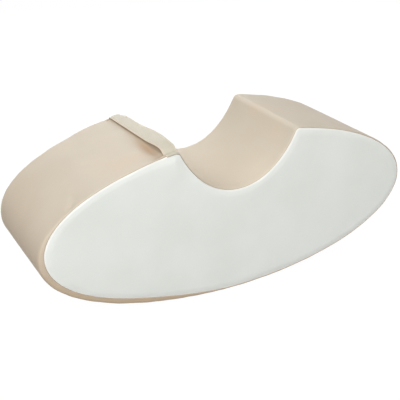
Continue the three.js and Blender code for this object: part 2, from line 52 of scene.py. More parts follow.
seam = {
    "face": 129.5, "inset": 3.7, "gap": 0.15,
    # under the front end the seam lies deeper: how much, between which heights over the widest
    # level, and between which places along the block
    "dip": 12.5, "dipLevels": (110, -60), "dipPlaces": (20, -260), "dipReach": 10,
    "roll": 1.5, "tuck": 2.2,  # rounding of a panel's edge, and how far it runs on into the seam
    "rollClear": 1.3,  # rows start this many rolls from the edge
    "puffReach": 18, "puffRise": 2.2,
    "crossReach": 210.1,  # of the cross seams underneath, from the middle
    "clothThickness": 1.1,
}

sides = {"left": -1, "right": 1}

# places along each stretch of the outline
steps = {"backTop": 90, "backLip": 8, "seat": 92, "base": 120, "backUnder": 84}


def joined(*parts):  # coordinates into points
    return np.stack(np.broadcast_arrays(*parts), -1)


def unitLong(vectors):
    return vectors / np.linalg.norm(vectors, axis=-1, keepdims=True)


def clamp(value):
    return np.clip(value, 0, 1)


def wholeTurn(count):  # angles of so many corners
    return np.linspace(0, 2 * np.pi, count, endpoint=False)


# angle of an outline curve where it is x from the middle
def curveAngle(x, fullness):
    return np.arccos((x / block["halfLength"]) ** (fullness / 2))


restAngle = curveAngle(block["restFlat"] / 2, block["baseFullness"])
crossAngle = curveAngle(seam["crossReach"], block["baseFullness"])
levelZ = block["baseDrop"] * np.sin(restAngle) ** (2 / block["baseFullness"])
core = [0, 0, levelZ * block["coreHeight"]]


# superellipse: x = (a - inset) cos^(2/n), z = level +/- (rise - inset) sin^(2/n)
def rimCurve(angle, inset, side):
    rise = block["topRise"] if side > 0 else block["baseDrop"]
    power = 2 / (block["topFullness"] if side > 0 else block["baseFullness"])
    across = np.cos(angle)
    x = (block["halfLength"] - inset) * np.sign(across) * np.abs(across) ** power
    z = levelZ + side * (rise - inset) * np.abs(np.sin(angle)) ** power
    return joined(x, z)


# ellipse of the notch, its angle measured from the lowest point towards the back
def seatCurve(angle, inset):
    x = (block["seatHalf"] + inset) * np.sin(angle)
    z = levelZ + block["seatRise"] - (block["seatDepth"] + inset) * np.cos(angle)
    return joined(x, z)


# a lip's rounding is centred where both curves, moved in by inset + radius, cross (by halving)
def lipCentre(inset, end):
    depth = inset + np.maximum(block["lipRadius"][end] - inset, block["lipLeast"])
    low, high = np.zeros_like(depth), np.full_like(depth, np.pi / 2)
    for _ in range(50):
        middle = (low + high) / 2
        spot = seatCurve(middle, depth)
        reach = np.minimum(spot[..., 0] / (block["halfLength"] - depth), 1)
        top = (1 - reach ** block["topFullness"]) ** (1 / block["topFullness"])
        under = spot[..., 1] < levelZ + (block["topRise"] - depth) * top
        low, high = np.where(under, middle, low), np.where(under, high, middle)
    centre = seatCurve(low, depth)
    reach = centre[..., 0] / (block["halfLength"] - depth)
    return centre, low, np.arccos(reach ** (block["topFullness"] / 2))


# the lip swings round that centre from the seat (share 0) to the top (share 1)
def lipCurve(share, inset, end):
    centre, seatAngle, rimAngle = lipCentre(inset, end)
    fromSeat = seatCurve(seatAngle, inset) - centre
    fromTop = rimCurve(rimAngle, inset, 1) - centre
    turn = [np.arctan2(arm[..., 1], arm[..., 0]) for arm in (fromSeat, fromTop)]
    arm = [np.hypot(arm[..., 0], arm[..., 1]) for arm in (fromSeat, fromTop)]
    angle = turn[0] + (turn[1] - turn[0]) * share
    length = arm[0] + (arm[1] - arm[0]) * share
    return centre + length[..., None] * joined(np.cos(angle), np.sin(angle))


# one stretch of the outline for a row of shares and a column of insets; a front stretch is its
# back one mirrored and run the other way
def stretch(name, share, inset, end="back"):
    share, inset = np.atleast_2d(share), np.atleast_2d(np.array(inset, float).T).T
    if name.startswith("front"):
        return stretch("back" + name[5:], 1 - share, inset, "front") * [-1, 1]
    if name == "backTop":
        return rimCurve(lipCentre(inset, end)[2] * share, inset, 1)
    if name == "backLip":
        return lipCurve(1 - share, inset, end)
    if name == "seat":
        back, front = lipCentre(inset, "back")[1], lipCentre(inset, "front")[1]
        return seatCurve(back - (back + front) * share, inset)
    if name == "backUnder":
        return rimCurve(crossAngle * (1 - share), inset, -1)
    signed, flat = 2 * share - 1, block["restFlat"] / 2 / seam["crossReach"]
    onward = clamp((np.abs(signed) - flat) / (1 - flat))
    line = rimCurve(restAngle + (crossAngle - restAngle) * onward, inset, -1)
    line[..., 0] *= np.sign(signed) * np.minimum(np.abs(signed) / flat, 1)
    return line


def easing(value, none, full):  # 3t^2 - 2t^3
    share = clamp((value - none) / (full - none))
    return share * share * (3 - 2 * share)


# e^-(sum of (a / reach)^2) over pairs of a and its reach: numbers, arrays or shader wires
def bell(*pairs):
    return np.e ** (sum(a * a / reach ** 2 for a, reach in pairs) * -1)


# a stretch with a share of the seam's dip added to its inset
def dipped(name, share, inset, dipShare):
    rim = stretch(name, share, [0])
    dip = (seam["dip"] * easing(rim[..., 1] - levelZ, *seam["dipLevels"])
           * easing(rim[..., 0], *seam["dipPlaces"]))
    return stretch(name, share, np.reshape(inset, (-1, 1)) + dip * np.reshape(dipShare, (-1, 1)))


# several stretches end to end; an eased end has extra places where the panel's edge rolls in
def trace(names, inset, dipShare=1, eased=False):
    lines = []
    for place, name in enumerate(names):
        share = np.linspace(0, 1, steps[name.replace("front", "back")] + 1)
        if eased:
            length = lengthOf(stretch(name, share, [0])[0])[-1]
            edge = rollSpots / length
            clear = edge[-1] * seam["rollClear"]
            if place == 0:
                share = chain([edge, share[share > clear]])
            if place == len(names) - 1:
                share = chain([share[share < 1 - clear], 1 - edge[::-1]])
        line = dipped(name, share, inset, dipShare)
        lines.append(line if place == 0 else line[:, 1:])
    return chain(lines, 1)


# running length along a line of points
def lengthOf(line):
    return chain([[0], np.cumsum(np.linalg.norm(np.diff(line, axis=0), axis=1))])


rollTurn = np.linspace(0, np.pi / 2, 6)
rollSpots = seam["roll"] * (1 - np.cos(rollTurn))  # distances from a panel's edge on its roll


# how deep a panel's rolled edge lies at a distance from the seam: r - sqrt(r^2 - (r - e)^2)
def rollDepth(distance):
    r = seam["roll"]
    return r - np.sqrt(r ** 2 - (r - np.clip(distance, 0, r)) ** 2)


wholeOutline = ["backTop", "backLip", "seat", "frontLip", "frontTop",
                "frontUnder", "base", "backUnder"]


# the front lip leans further forward towards the right side: x moves by a share that is eased
# in x and z and even in y
lean = {"shift": 14, "along": ((-300, -205), (-15, -105)), "level": (30, 110)}


def leaned(points):
    x, y, z = np.moveaxis(points, -1, 0)
    amount = lean["shift"] * clamp((y / seam["face"] + 1) / 2)
    for none, full in lean["along"]:
        amount = amount * easing(x, none, full)
    amount = amount * easing(z - levelZ, *lean["level"])
    return joined(x - amount, y, z)


# the front lip's left corner gives way down beside the seam and inwards at it: a bell over the
# outline times bells over the distance from the side seam
give = {"place": (-152, 352), "reach": 52, "depth": 8.8, "middle": 14, "spread": 9.3,
        "inwards": 4, "inReach": 18,
        "foamEdge": 6.5}  # how far from the seam the cover lies that is over the foam's edge


def cornerGive(points, fromSeam):
    x, y, z = np.moveaxis(points, -1, 0)
    x, z = x - give["place"][0], z - give["place"][1]
    near = bell((x, give["reach"]), (z, give["reach"])) * (y < 0)
    down = give["depth"] * near * bell((fromSeam - give["middle"], give["spread"]))
    inwards = give["inwards"] * near * bell((fromSeam, give["inReach"]))
    return joined(0, -inwards, down)


# dents in the wrap of the top, before and under the strap and by the side seam: bells over x and y
dents = [  # x, y, reach along, reach across, depth
    (-173, 0, 10, 190, 3.4), (-182, -78, 17, 36, 6),
    (-361, -102, 8, 14, 2.6), (-374, -117, 7, 8, 3.6),
]


def dentDepth(points):
    x, y, z = np.moveaxis(points, -1, 0)
    return (z > levelZ) * sum(deep * bell((x - placeX, along), (y - placeY, over))
                              for placeX, placeY, along, over, deep in dents)


# small folds that a tight seam draws into the cover: sines along it, which wander to and fro and
# die away from it, sin(2 pi waves t + start + wander sin(2 pi bends t + start)) e^-(away / reach)
pucker = {
    "lengths": [13, 19, 31, 53, 97], "heights": [0.05, 0.08, 0.13, 0.2, 0.3],
    "reach": [5, 8, 12, 18, 26], "starts": [0.4, 2.1, 3.9, 5.2, 1.3],
}
wander = {"size": 1.7, "bends": 3}


def puckers(along, away, total):
    height, turn = 0, 2 * np.pi * along / total
    for length, tall, reach, start in zip(*pucker.values()):
        drift = wander["size"] * np.sin(wander["bends"] * turn + start)
        wave = np.sin(round(total / length) * turn + start + drift)
        height = height + tall * wave * np.exp(-away / reach)
    return height


# broad, shallow waves of a cover over soft foam, each with its lengths along and across: a product
# of two sines, the second of them starting later, and two slanting sines with their heights
foamWave = {"wide": (61, 47, 1.1), "slanting": (33, -41, 0.6), "crossing": (23, 29, 0.4)}


def foamWaves(x, z, start):
    (x0, z0, later), (x1, z1, tall1), (x2, z2, tall2) = foamWave.values()
    return (np.sin(x / x0 + start) * np.sin(z / z0 + later * start)
            + tall1 * np.sin(x / x1 + z / z1 + start) + tall2 * np.sin(x / x2 + z / z2 - start))


# the four corners of each cell of a grid
def cells(grid):
    return np.stack([grid[:-1, :-1], grid[:-1, 1:], grid[1:, 1:], grid[1:, :-1]], 2)


# a mesh from a grid of points (millimetres). Its columns may close on themselves, and the two
# halves of a folded row are one line of points. The seam map holds lengths along and across.
def gridMesh(name, points, chart=None, closed=False, folded=()):
    rows, columns = points.shape[:2]
    index = np.arange(rows * columns).reshape(rows, columns)
    if closed:
        index = np.hstack([index, index[:, :1]])
    for row in folded:
        half = columns // 2
        index[row, half + 1:columns] = index[row, 1:half][::-1]
    charts = None if chart is None else cells(chart * millimetre).reshape(-1, 4, 2)
    return facesMesh(name, points.reshape(-1, 3), cells(index).reshape(-1, 4), charts)


# the faces of a tube of rings with closed ends, again for each of its copies
def tubeFaces(rows, columns, caps, count):
    index = np.arange(rows * columns).reshape(rows, columns)
    index = np.hstack([index, index[:, :1]])
    quads = chain([cells(index).reshape(-1, 4), index[0, caps][:, ::-1], index[-1, caps]])
    return (quads + np.arange(count)[:, None, None] * rows * columns).reshape(-1, 4)


def addThing(name, data):
    thing = bpy.data.objects.new(name, data)
    bpy.context.scene.collection.objects.link(thing)
    return thing


# faces turned outwards: the volume that they span with the block's core is positive
def facesMesh(name, points, quads, charts=None):
    charts = np.zeros((len(quads), 4, 2)) if charts is None else charts
    used, quads = np.unique(quads, return_inverse=True)
    points, quads = leaned(points[used]), quads.reshape(-1, 4)
    arm = points - core
    a, b, c, d = (arm[quads[:, corner]] for corner in range(4))
    volume = np.sum(np.cross(b, c) * a) + np.sum(np.cross(c, d) * a)
    if volume < 0:
        quads, charts = quads[:, ::-1], charts[:, ::-1]
    mesh = bpy.data.meshes.new(name)
    mesh.vertices.add(len(points))
    mesh.vertices.foreach_set("co", (points * millimetre).astype(np.float32).ravel())
    mesh.loops.add(quads.size)
    mesh.loops.foreach_set("vertex_index", quads.astype(np.int32).ravel())
    mesh.polygons.add(len(quads))
    mesh.polygons.foreach_set("loop_start", np.arange(0, quads.size, 4, dtype=np.int32))
    mesh.update(calc_edges=True)
    layer = mesh.uv_layers.new(name="seam")
    layer.data.foreach_set("uv", charts.astype(np.float32).ravel())
    mesh.polygons.foreach_set("use_smooth", np.ones(len(quads), bool))
    mesh.validate()
    piece = addThing(name, mesh)
    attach(piece, "block")
    return piece


def thicken(piece, thickness, offset=-1):
    wall = piece.modifiers.new("thickness", "SOLIDIFY")
    wall.thickness, wall.offset, wall.use_rim = thickness * millimetre, offset, True


def dress(piece, material):
    piece.data.materials.append(material)


def wireMaths(operation, swapped=False):  # what an operator does with a wire
    def made(wire, other):
        return wire.bench.maths(operation, *((other, wire) if swapped else (wire, other)))
    return made


class Wire:  # one output of a shader node, so that shader maths reads as arithmetic
    def __init__(self, bench, socket):
        self.bench, self.socket = bench, socket

    __add__ = __radd__ = wireMaths("ADD")
    __mul__ = __rmul__ = wireMaths("MULTIPLY")
    __sub__, __rsub__ = wireMaths("SUBTRACT"), wireMaths("SUBTRACT", True)
    __truediv__, __rpow__ = wireMaths("DIVIDE"), wireMaths("POWER", True)


class Bench:  # the node tree of a material or of the world
    def __init__(self, owner):
        owner.use_nodes = True
        self.owner, self.tree = owner, owner.node_tree
        self.tree.nodes.clear()

    def node(self, kind, settings, inputs, output=0):
        made = self.tree.nodes.new("ShaderNode" + kind)
        for key, value in settings.items():
            setattr(made, key, value)
        for key, value in inputs.items():
            if isinstance(value, Wire):
                self.tree.links.new(value.socket, made.inputs[key])
            else:
                made.inputs[key].default_value = value
        return None if output is None else Wire(self, made.outputs[output])

    def maths(self, operation, *values):
        return self.node("Math", {"operation": operation}, dict(enumerate(values)))

    def mix(self, share, first, second):
        inputs = {"Factor": share, 6: first, 7: second}
        return self.node("Mix", {"data_type": "RGBA"}, inputs, 2)

    def smooth(self, value, low, high):  # 0 at low, 1 at high
        inputs = {"Value": value, "From Min": low, "From Max": high}
        return self.node("MapRange", {"interpolation_type": "SMOOTHSTEP"}, inputs)

    def tone(self, value, edge, look):  # a look's low colour turns into its base colour
        return self.mix(self.smooth(value, *edge), look["low"], look["base"])

    def noise(self, place, scale, detail=2, output=0):
        inputs = {"Vector": place, "Scale": scale, "Detail": detail}
        return self.node("TexNoise", {}, inputs, output)

    def clouds(self, place, scale):
        return self.noise(place, scale, 3)

    def place(self):
        return self.node("TexCoord", {}, {}, "Object")

    def parts(self, vector, axes):
        return [self.node("SeparateXYZ", {}, {"Vector": vector}, axis) for axis in axes]

    def finish(self, shader, kind="OutputMaterial"):
        self.node(kind, {}, {"Surface": shader}, None)
        return self.owner

    def surface(self, tone, rough, height, **constants):  # its height is in millimetres
        bump = self.node("Bump", {}, {"Strength": 1, "Distance": millimetre, "Height": height})
        return self.finish(self.node("BsdfPrincipled", {}, {
            "Base Color": tone, "Roughness": rough, "Normal": bump, **constants}))


def newBench(name):
    return Bench(bpy.data.materials.new(name))


def colour(red, green, blue):  # a colour as an eye-dropper gives it, made linear for the shader
    part = np.array([red, green, blue]) / 255
    linear = np.where(part > 0.04045, ((part + 0.055) / 1.055) ** 2.4, part / 12.92)
    return (*linear, 1)


# Artificial leather: pebbles between fine creases, soft waves, a tint in the creases, painted
# light along the seams (a highlight on the white, shade on the beige), and small puckers where the
# thread pulls.
leathers = {
    # the white's edge colour is a painted highlight along its seams
    "white": {"base": colour(241, 243, 238), "low": colour(235, 237, 231),
              "edge": colour(254, 253, 249), "paintedSeamLight": 0.9, "rough": 0.46},
    # the beige's edge colour is painted shade along its seams
    "beige": {"base": colour(205, 195, 179), "low": colour(199, 187, 169),
              "edge": colour(201, 187, 166), "paintedSeamLight": 0.5, "rough": 0.5,
              # painted warm shade towards the floor, painted shadow in front of and under the
              # strap, and painted light on the seat's bottom
              "warmShadeAndMottle": colour(208, 179, 145), "paintedStrapShadow": colour(176, 142, 106),
              "paintedSeatLight": colour(222, 212, 191)},
}
grain = {
    "cells": 820, "crease": 0.2, "drift": 300, "driftBy": 0.0008, "fine": 2600,
    "broad": 22, "cloud": 7, "cloudEdge": (0.3, 0.7), "specular": 0.4,
    # heights in millimetres
    "deep": 0.05, "fineDeep": 0.02, "waves": 0.22, "pull": 0.12,
    # lengths in millimetres
    "stitch": 4, "pullReach": 2.5, "paintedSeamLight": 4.5,
    "creaseTint": 0.35, "uneven": 0.12,
}
# where painted shade and painted light lie on the beige leather, in metres: levels, and places
# with their reach and strength
wear = {
    "paintedShadeTop": 0.34, "paintedShadeShare": 0.8, "cloudEdge": (0.5, 0.75), "cloudShare": 0.35,
    "paintedSeatLight": {"x": 0.055, "reach": (0.07, 1), "share": 0.4, "levels": (0.21, 0.24)},
    "strapShadowSpots": [(-0.182, -0.062, 0.016, 0.056, 0.7), (-0.174, 0, 0.008, 0.2, 0.4)],
    "strapShadowLevels": (0.3, 0.33),
}


# painted shade and light on the beige leather, with warm mottling
def paintedLightAndShade(bench, place, cloudy, tone, look):
    x, y, z = bench.parts(place, "XYZ")
    # painted shade: warmer and darker towards the floor, merged with warm mottling where the
    # clouds are high
    warmShadeAndMottle = bench.maths("MAXIMUM", (1 - bench.smooth(z, 0, wear["paintedShadeTop"])) * wear["paintedShadeShare"],
                       bench.smooth(cloudy, *wear["cloudEdge"]) * wear["cloudShare"])
    tone = bench.mix(warmShadeAndMottle, tone, look["warmShadeAndMottle"])
    # painted light: the seat's bottom lighter round its middle, above a level
    paintedSeatLight = wear["paintedSeatLight"]
    seat = bell((x - paintedSeatLight["x"], paintedSeatLight["reach"][0]), (y, paintedSeatLight["reach"][1]))
    tone = bench.mix(seat * bench.smooth(z, *paintedSeatLight["levels"]) * paintedSeatLight["share"], tone, look["paintedSeatLight"])
    # painted shadow in front of and under the strap, above a level
    strapShadowSpots = [bell((x - placeX, reachX), (y - placeY, reachY)) * share
             for placeX, placeY, reachX, reachY, share in wear["strapShadowSpots"]]
    paintedStrapShadow = bench.maths("MAXIMUM", *strapShadowSpots) * bench.smooth(z, *wear["strapShadowLevels"])
    return bench.mix(paintedStrapShadow, tone, look["paintedStrapShadow"])


def leatherMaterial(name, look):
    bench = newBench(name)
    place = bench.place()
    along, away = bench.parts(bench.node("UVMap", {"uv_map": "seam"}, {}), "XY")
    drift = bench.noise(place, grain["drift"], 1, "Color")
    bent = bench.node("VectorMath", {"operation": "MULTIPLY_ADD"},
                      {0: drift, 1: (grain["driftBy"],) * 3, 2: place})
    edges = bench.node("TexVoronoi", {"feature": "DISTANCE_TO_EDGE"},
                       {"Vector": bent, "Scale": grain["cells"]})
    pebble = bench.smooth(edges, 0, grain["crease"])
    cloudy = bench.clouds(place, grain["cloud"])
    near = 0.5 ** (away / (grain["pullReach"] * millimetre))
    pull = bench.maths("SINE", along * (2 * np.pi / (grain["stitch"] * millimetre)))
    height = (pebble * grain["deep"] + bench.noise(place, grain["fine"]) * grain["fineDeep"]
              + bench.clouds(place, grain["broad"]) * grain["waves"]
              + pull * near * grain["pull"])
    tone = bench.tone(cloudy, grain["cloudEdge"], look)
    tone = bench.mix((1 - pebble) * grain["creaseTint"], tone, look["low"])
    if "warmShadeAndMottle" in look:
        tone = paintedLightAndShade(bench, place, cloudy, tone, look)
    # painted light along the seams: a highlight on the white leather, shade on the beige
    paintedSeamLight = 1 - bench.smooth(away, 0, grain["paintedSeamLight"] * millimetre)
    tone = bench.mix(paintedSeamLight * look["paintedSeamLight"], tone, look["edge"])
    rough = look["rough"] + (cloudy - 0.5) * grain["uneven"] + (1 - pebble) * grain["uneven"]
    return bench.surface(tone, rough, height, **{"Specular IOR Level": grain["specular"]})


strapLook = {
    "base": colour(204, 198, 181), "low": colour(188, 180, 161), "edge": colour(238, 219, 194),
    "rough": 0.5, "thread": 1.3, "deep": 0.09, "rib": 3.7, "ribDeep": 0.06, "slant": 0.35,
    # the fold's tint is a painted highlight along the strap's folded edges, in its edge colour
    "waves": 0.3, "tint": 0.3, "fold": (0.86, 0.8),  # where a fold's tint starts, and its share
    "uneven": (300, 2.5), "ribUneven": (90, 3),  # noise that shifts the waves, and how far
    "weaveEdge": (-1, 0.6), "weaveRough": 0.06, "cloud": 30, "cloudEdge": (0.35, 0.7),
    "ribTint": 0.12, "specular": 0.4,
}


# embossed linen: two crossed sine waves, one along the strap and one across it, over coarser ribs
def strapMaterial(look):
    bench = newBench("strap leather")
    place = bench.place()
    along, across = bench.parts(bench.node("UVMap", {"uv_map": "seam"}, {}), "XY")
    turn, ribTurn = (2 * np.pi / (look[key] * millimetre) for key in ("thread", "rib"))
    shift, ribShift = (bench.noise(place, scale) * size
                       for scale, size in (look["uneven"], look["ribUneven"]))
    waves = [bench.maths("SINE", way * turn + shift) for way in (along, across)]
    weave = waves[0] * 0.5 + waves[1] * 0.5
    rib = bench.maths("SINE", (along + across * look["slant"]) * ribTurn + ribShift)
    cloudy = bench.clouds(place, look["cloud"])
    height = weave * look["deep"] + rib * look["ribDeep"] + cloudy * look["waves"]
    tone = bench.tone(weave, look["weaveEdge"], look)
    uneven = bench.smooth(cloudy + rib * look["ribTint"], *look["cloudEdge"])
    tone = bench.mix(uneven * look["tint"], tone, look["low"])
    # painted highlight along both folded edges of the strap
    half = strap["width"] / 2 * millimetre
    start, share = look["fold"]
    fold = bench.smooth(bench.maths("ABSOLUTE", across), half * start, half)
    tone = bench.mix(fold * share, tone, look["edge"])
    rough = look["rough"] + weave * look["weaveRough"]
    return bench.surface(tone, rough, height, **{"Specular IOR Level": look["specular"]})


foamLook = {"base": colour(232, 222, 178), "low": colour(196, 180, 126), "cell": 900,
            "edge": (0.1, 0.7), "rough": 0.95, "deep": 0.5}


def foamMaterial(look):
    bench = newBench("open foam")
    cell = bench.node("TexVoronoi", {}, {"Vector": bench.place(), "Scale": look["cell"]})
    holes = bench.smooth(cell, *look["edge"])
    tone = bench.mix(holes, look["low"], look["base"])
    return bench.surface(tone, look["rough"], holes * look["deep"])


tapeLook = {"base": colour(214, 202, 182), "low": colour(180, 166, 143), "thread": 0.7,
            "slant": 0.6, "rib": 0.4, "ribsPerThread": 1.3, "edge": (-1, 0.7), "rough": 0.85,
            "weaveRough": 0.05, "deep": 0.1}


# twill: ribs that run slantwise over the tape
def tapeMaterial(look):
    bench = newBench("zip tape")
    x, y = bench.parts(bench.place(), "XY")
    turn = 2 * np.pi / (look["thread"] * millimetre)
    slant = bench.maths("SINE", (x + y) * turn)
    rib = bench.maths("SINE", y * turn * look["ribsPerThread"])
    weave = slant * look["slant"] + rib * look["rib"]
    tone = bench.tone(weave, look["edge"], look)
    rough = look["rough"] + weave * look["weaveRough"]
    return bench.surface(tone, rough, weave * look["deep"])


toothLook = {"base": colour(222, 211, 192), "low": colour(206, 194, 174), "rough": 0.32,
             "cloud": 260, "cloudEdge": (0.35, 0.65), "cloudRough": 0.12,
             "fine": 1800, "deep": 0.03}


def toothMaterial(look):
    bench = newBench("moulded teeth")
    place = bench.place()
    cloudy = bench.clouds(place, look["cloud"])
    tone = bench.tone(cloudy, look["cloudEdge"], look)
    height = bench.noise(place, look["fine"]) * look["deep"]
    return bench.surface(tone, look["rough"] + cloudy * look["cloudRough"], height)


metalLook = {"base": colour(196, 193, 186), "low": colour(150, 146, 138), "rough": 0.24,
             "drawn": (300, 3000, 3000), "detail": 4, "markRough": 0.14, "markDeep": 0.02,
             "cloud": 350, "cloudEdge": (0.35, 0.7), "cloudRough": 0.1, "cloudDeep": 0.04}


# cast metal with fine rubbing marks along the zip
def metalMaterial(look):
    bench = newBench("zip metal")
    place = bench.place()
    drawn = bench.node("Mapping", {}, {"Vector": place, "Scale": look["drawn"]})
    marks = bench.noise(drawn, 1, look["detail"])
    cloudy = bench.clouds(place, look["cloud"])
    tone = bench.tone(cloudy, look["cloudEdge"], look)
    rough = look["rough"] + marks * look["markRough"] + cloudy * look["cloudRough"]
    height = marks * look["markDeep"] + cloudy * look["cloudDeep"]
    return bench.surface(tone, rough, height, Metallic=1)


threadLook = {"base": colour(214, 201, 180), "light": colour(238, 229, 212), "rough": 0.7,
              "twist": 1500, "deep": 0.1}


def threadMaterial(look):
    bench = newBench("sewing thread")
    twist = bench.noise(bench.place(), look["twist"])
    tone = bench.mix(twist, look["base"], look["light"])
    return bench.surface(tone, look["rough"], twist * look["deep"])


whiteLeather = leatherMaterial("white leather", leathers["white"])
beigeLeather = leatherMaterial("beige leather", leathers["beige"])
print("materials made")


# the side face at a distance from its seam: a quarter-sine puff less the rolled edge
sideRows = {
    "puff": np.linspace(seam["roll"], seam["puffReach"], 13)[1:],
    "heart": np.linspace(0, 1, 15)[1:], "heartReach": 0.76, "heartDrop": 52,
    "swell": 0.5, "swellReach": 90, "wave": 0.14, "puckerFade": 4,
}
# under the back top: place along the block and distance from the seam, with their reach
sideWrinkles = {"place": (208, 30), "away": (9, 7), "pitch": 11, "depth": 0.3}


# rows of rings from the seam inwards, then from the last ring to a line along the middle
def sideFace(side, depth, ease):
    edge = rollSpots if ease else rollSpots * 0
    distance = chain([edge, sideRows["puff"]])
    inset = seam["inset"] + seam["gap"] + distance
    rings = trace(wholeOutline, inset)[:, :-1]
    total = lengthOf(rings[0])[-1] + np.linalg.norm(rings[0, 0] - rings[0, -1])
    along = np.append(lengthOf(rings[0]), total)
    puff = seam["puffRise"] * np.sin(np.pi / 2 * distance / seam["puffReach"])
    height = seam["face"] + puff - (rollDepth(distance) if ease else 0)
    count = rings.shape[1]
    half = count // 2
    upper, lower = rings[-1, :half + 1], np.roll(rings[-1][::-1], 1, 0)[:half + 1]
    middle = (upper[:, 0] + lower[:, 0]) / 2 * sideRows["heartReach"]
    level = levelZ - sideRows["heartDrop"] * np.cos(np.pi / 2 * middle / middle[0]) ** 2
    heart = joined(middle, level)
    heart = chain([heart, heart[1:-1][::-1]])
    share = sideRows["heart"][:, None, None]
    inner = rings[-1] * (1 - share) + heart * share
    plane = chain([rings, inner])
    innerAway = seam["puffReach"] + np.linalg.norm(inner - rings[-1], axis=2)
    away = chain([np.repeat(distance[:, None], count, 1), innerAway])
    onward = clamp((away - seam["puffReach"]) / sideRows["swellReach"])
    swell = sideRows["swell"] * np.sin(np.pi / 2 * onward)
    y = chain([height, np.full(len(inner), height[-1])])[:, None] + swell - depth
    if ease:
        x, z = np.moveaxis(plane, -1, 0)
        inside = clamp(away / seam["puffReach"])
        y = y + sideRows["wave"] * foamWaves(x, z, 1 + side) * inside
        y = y + puckers(along[:-1], away, total) * clamp(away / sideRows["puckerFade"])
        (place, reach), (off, offReach), pitch, deep = sideWrinkles.values()
        spread = bell((x - place, reach), (away - off, offReach)) * (z > levelZ)
        y = y + deep * spread * np.sin(2 * np.pi * (x + z) / pitch)
    points = joined(plane[..., 0], side * y, plane[..., 1])
    points = points - cornerGive(points, -away if ease else give["foamEdge"] - away)
    if ease:  # the part that runs into the seam
        first = points[:1]
        deeper = [first - [0, side * drop, 0] for drop in (seam["tuck"], seam["tuck"] / 2)]
        points = chain(deeper + [points])
        away = chain([away[:1], away[:1], away])
    away = np.hstack([away, away[:, :1]])
    return points, joined(along, away)


def makeSideCover(name, side, node):
    cover = gridMesh(name, *sideFace(side, 0, True), closed=True, folded=[-1])
    thicken(cover, seam["clothThickness"])
    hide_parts(node)
    dress(cover, whiteLeather)


for hand, side in sides.items():
    makeSideCover("side_cover_" + hand, side, "side_panel_" + hand)
print("side covers made")


rim = {
    "flatHalf": seam["face"] - block["edgeRadius"], "seamInset": seam["inset"] - seam["gap"],
    "spacing": 6, "puckerFade": 6, "wave": 0.12, "waveFade": 20, "endFade": 4,
}


# half of the rim's section, from a place on its flat out to the seam: flat, the rounded edge up to
# the roll, sqrt(r^2 - (r - inset)^2) across, the roll and what runs on into the seam. Each place
# is an inset, a place across and a share of the seam's dip.
def rimHalf(fromY):
    radius = block["edgeRadius"]
    count = max(2, round((rim["flatHalf"] - fromY) / rim["spacing"]))
    flat = np.linspace(fromY, rim["flatHalf"], count)[:-1]
    turn = np.linspace(0, np.arccos(1 - (rim["seamInset"] - seam["roll"]) / radius), 9)[:-1]
    distance = rollSpots[::-1]
    inset = chain([radius * (1 - np.cos(turn)), rim["seamInset"] - distance])
    across = rim["flatHalf"] + np.sqrt(radius ** 2 - (radius - inset) ** 2)
    across = across - rollDepth(rim["seamInset"] - inset)
    start = joined(0, flat)
    corner, roll = np.split(joined(inset, across), [len(turn)])
    tuck = np.repeat(roll[-1:], 2, 0) - np.array([[0, 0.5], [0, 1]]) * seam["tuck"]
    half = chain([start, corner, roll, tuck])
    return np.hstack([half, dipShare(half[:, 1:], seam["face"], len(roll) + len(tuck))])


# the wrap rounds over into the seam's dip: a quarter ellipse, 1 - sqrt(1 - t^2)
def dipShare(y, face, last):
    near = clamp(1 - (face - y) / seam["dipReach"])
    share = 1 - np.sqrt(1 - near ** 2)
    share[len(share) - last:] = 1
    return share


def mirrored(half):  # a whole section from its right half
    return chain([half[::-1] * [1, -1, 1], half[1:]])


# outward unit normals of a grid, from the cross product of its two directions
def gridNormals(points):
    normal = unitLong(np.cross(np.gradient(points, axis=0), np.gradient(points, axis=1)))
    return normal * np.sign(np.sum(normal * (points - core)))


# a panel of the rim: its section carried along the outline, with both ends rolled into the cross
# seams, and puckered beside the side seams
def rimPanel(name, names, section):
    lines = trace(names, section[:, 0], section[:, 2], eased=True)
    outermost = np.argmin(section[:, 0])
    along = lengthOf(lines[outermost])
    points = joined(lines[..., 0], section[:, 1:2], lines[..., 1])
    normal = gridNormals(points)
    fromEnd = np.minimum(along, along[-1] - along)
    outer = lengthOf(section[:, :2])
    fromSeam = np.minimum(np.abs(outer - outer[0]), np.abs(outer[-1] - outer))[:, None]
    if section[0, 1] * section[-1, 1] > 0:  # its other edge is the hem at the zip
        fromSeam = np.abs(outer[-1] - outer)[:, None]
    fromSeam = np.maximum(fromSeam - seam["tuck"], 0)
    lift = puckers(along, fromSeam, along[-1]) * clamp(fromSeam / rim["puckerFade"])
    wave = rim["wave"] * foamWaves(along, points[..., 1], 2)
    lift = lift + wave * clamp(fromSeam / rim["waveFade"])
    lift = (lift - dentDepth(points)) * clamp(fromEnd / rim["endFade"]) - rollDepth(fromEnd)
    grown = points + normal * lift[..., None] - cornerGive(points, fromSeam)
    ends = [[grown[:, end:end + 1 or None] - normal[outermost, end] * drop
             for drop in (seam["tuck"], seam["tuck"] / 2)] for end in (0, -1)]
    grown = chain([*ends[0], grown, *ends[1][::-1]], 1)
    fromEnd = chain([[0, 0], fromEnd, [0, 0]])
    along = chain([[along[0]] * 2, along, [along[-1]] * 2])
    away = np.minimum(fromSeam, fromEnd)
    return gridMesh(name, grown, joined(along, away))


def makeRimCover(name, names, section, node):
    cover = rimPanel(name, names, section)
    thicken(cover, seam["clothThickness"])
    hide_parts(node)
    dress(cover, beigeLeather)


rimSection = mirrored(rimHalf(0))
makeRimCover("front_cover", ["frontLip", "frontTop", "frontUnder"], rimSection, "front_panel")
makeRimCover("seat_cover", ["backUnder", "backTop", "backLip", "seat"], rimSection,
             "seat_panel")
print("rim covers made")


